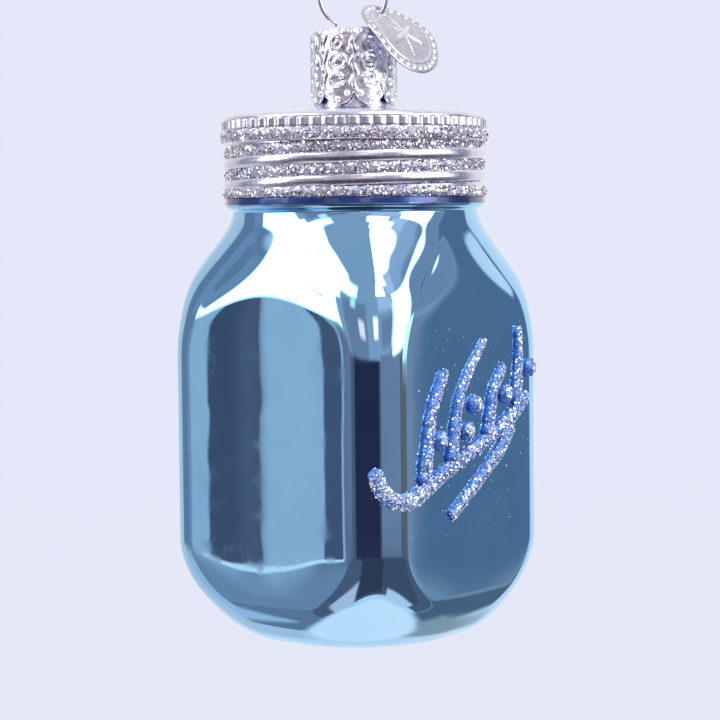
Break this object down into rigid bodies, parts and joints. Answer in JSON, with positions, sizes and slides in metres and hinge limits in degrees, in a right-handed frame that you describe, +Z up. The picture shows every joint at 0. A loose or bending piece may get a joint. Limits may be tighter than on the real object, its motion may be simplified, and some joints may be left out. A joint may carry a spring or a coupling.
{
  "type": "glass christmas ornament",
  "caption": "Hanging mirrored blue glass ornament in the form of a square mason jar, with a silver screw lid, glitter sprig, pressed metal cap, sprung wire loop and round tag",
  "frame": {"origin": "middle of the flat base, on the jar's upright axis", "axes": "+Z up towards the hanging loop; the jar's four flat faces look along +X, -X, +Y and -Y, and the glitter sprig is on the -Y face"},
  "size_m": [0.0408, 0.0422, 0.0968],
  "materials": {
    "blue_glass": "silvered inside and lacquered blue: a mirror-bright tint",
    "silver_glass": "silvered glass painted satin silver",
    "silver_glitter": "silver and violet glitter flakes in clear glue",
    "blue_glitter": "silver glitter flakes over blue glitter glue",
    "cap_metal": "bright pressed sheet",
    "wire_metal": "bright spring wire",
    "tag_metal": "bright pressed sheet"
  },
  "bodies": {
    "jar": {"jar_glass": "blue_glass", "lid_glass": "silver_glass", "lid_glitter_rim": "silver_glitter", "lid_glitter_thread": "silver_glitter", "lid_glitter_foot": "silver_glitter", "sprig_stem": "blue_glitter", "sprig_leaves": "blue_glitter", "sprig_berries": "blue_glitter"},
    "cap": {"cap": "cap_metal"},
    "hanger": {"hanger_wire": "wire_metal"},
    "tag": {"tag": "tag_metal"}
  },
  "joints": [
    {"name": "cap_lift", "type": "slide", "parent": "jar", "child": "cap", "axis": [0, 0, 1], "range_m": [0, 0.012]},
    {"name": "hanger_rock", "type": "hinge", "parent": "cap", "child": "hanger", "pos_m": [0, 0, 0.08665], "axis": [0.6225, -0.7826, 0], "range_deg": [-10, 10]},
    {"name": "tag_swing", "type": "hinge", "parent": "cap", "child": "tag", "pos_m": [0.00253, -0.00318, 0.08915], "axis": [-0.9997, 0.0262, 0], "range_deg": [0, 60]}
  ]
}
